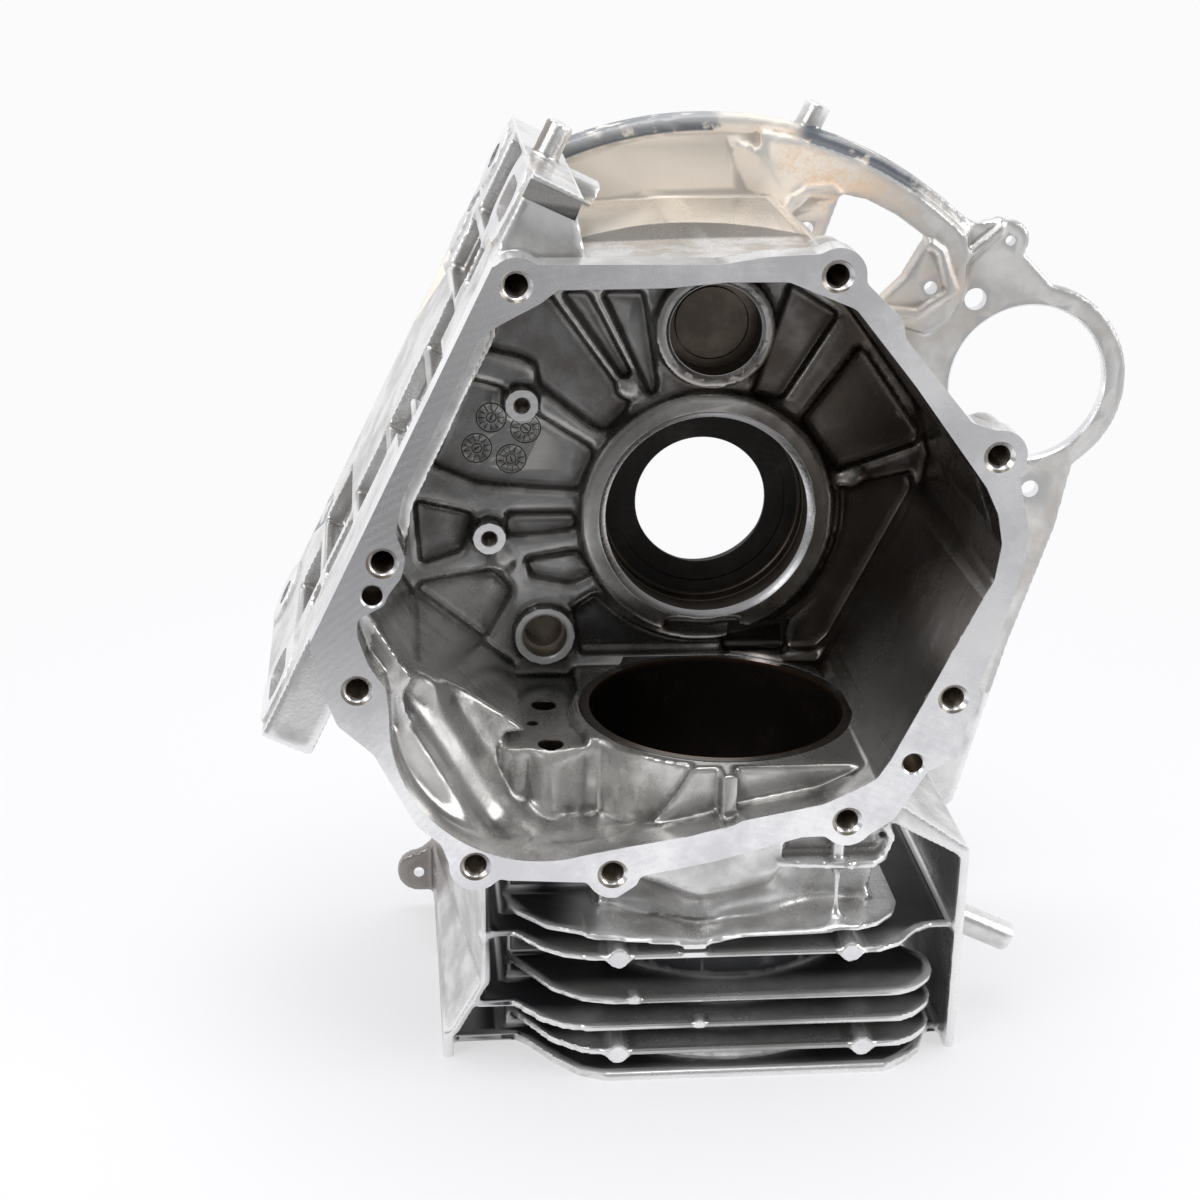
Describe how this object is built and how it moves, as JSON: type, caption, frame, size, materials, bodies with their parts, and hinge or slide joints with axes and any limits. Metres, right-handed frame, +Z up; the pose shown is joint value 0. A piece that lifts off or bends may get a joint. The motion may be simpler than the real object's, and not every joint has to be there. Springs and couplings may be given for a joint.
{
  "type": "crankcase",
  "caption": "Cast aluminium engine crankcase with finned cylinder, leaning mounting base, open cover side and flywheel-side plate, standing on its head face.",
  "frame": {"origin": "where the cylinder axis meets the head face", "axes": "+X along the cover face, +Y along the crank axis towards the flywheel, +Z up the cylinder axis"},
  "size_m": [0.3091, 0.1368, 0.311],
  "materials": {
    "cast_aluminium": "as-cast, with bright machined faces",
    "cast_iron": "honed, dark and oily"
  },
  "bodies": {
    "root": {"crankcase_casting": "cast_aluminium", "cylinder_liner": "cast_iron"}
  },
  "joints": []
}
